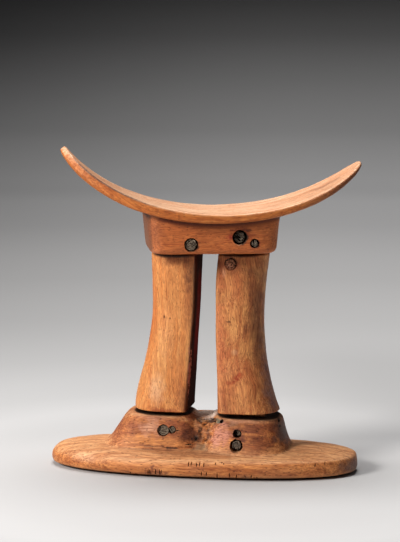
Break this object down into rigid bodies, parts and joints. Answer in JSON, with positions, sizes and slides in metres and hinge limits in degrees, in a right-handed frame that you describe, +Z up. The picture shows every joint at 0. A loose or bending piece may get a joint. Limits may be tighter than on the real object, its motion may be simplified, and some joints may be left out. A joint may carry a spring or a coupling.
{
  "type": "headrest",
  "caption": "Carved wooden headrest: a curved neck rest on a block, held by pegged columns on an oval foot with joined bosses.",
  "frame": {"origin": "on the surface it stands on, under the middle of the whole headrest's box", "axes": "+X along the foot's length, towards the lower arm of the neck rest; -Y out of the front, where the peg heads show; +Z up"},
  "size_m": [0.174, 0.08, 0.1808],
  "materials": {
    "rest_wood": "polished by use",
    "column_wood": "polished by use",
    "foot_wood": "polished by use, with fine cracks",
    "peg_wood": "dull end grain",
    "plug_wood": "satin end grain"
  },
  "bodies": {
    "root": {"headpiece": "rest_wood", "column_left": "column_wood", "column_right": "column_wood", "foot": "foot_wood", "peg_head_left": "peg_wood", "peg_head_right": "peg_wood", "peg_head_small": "peg_wood", "peg_foot_left": "peg_wood", "peg_foot_left_small": "peg_wood", "peg_foot_right_small": "peg_wood", "peg_foot_right": "peg_wood", "plug_column_right": "plug_wood"}
  },
  "joints": []
}
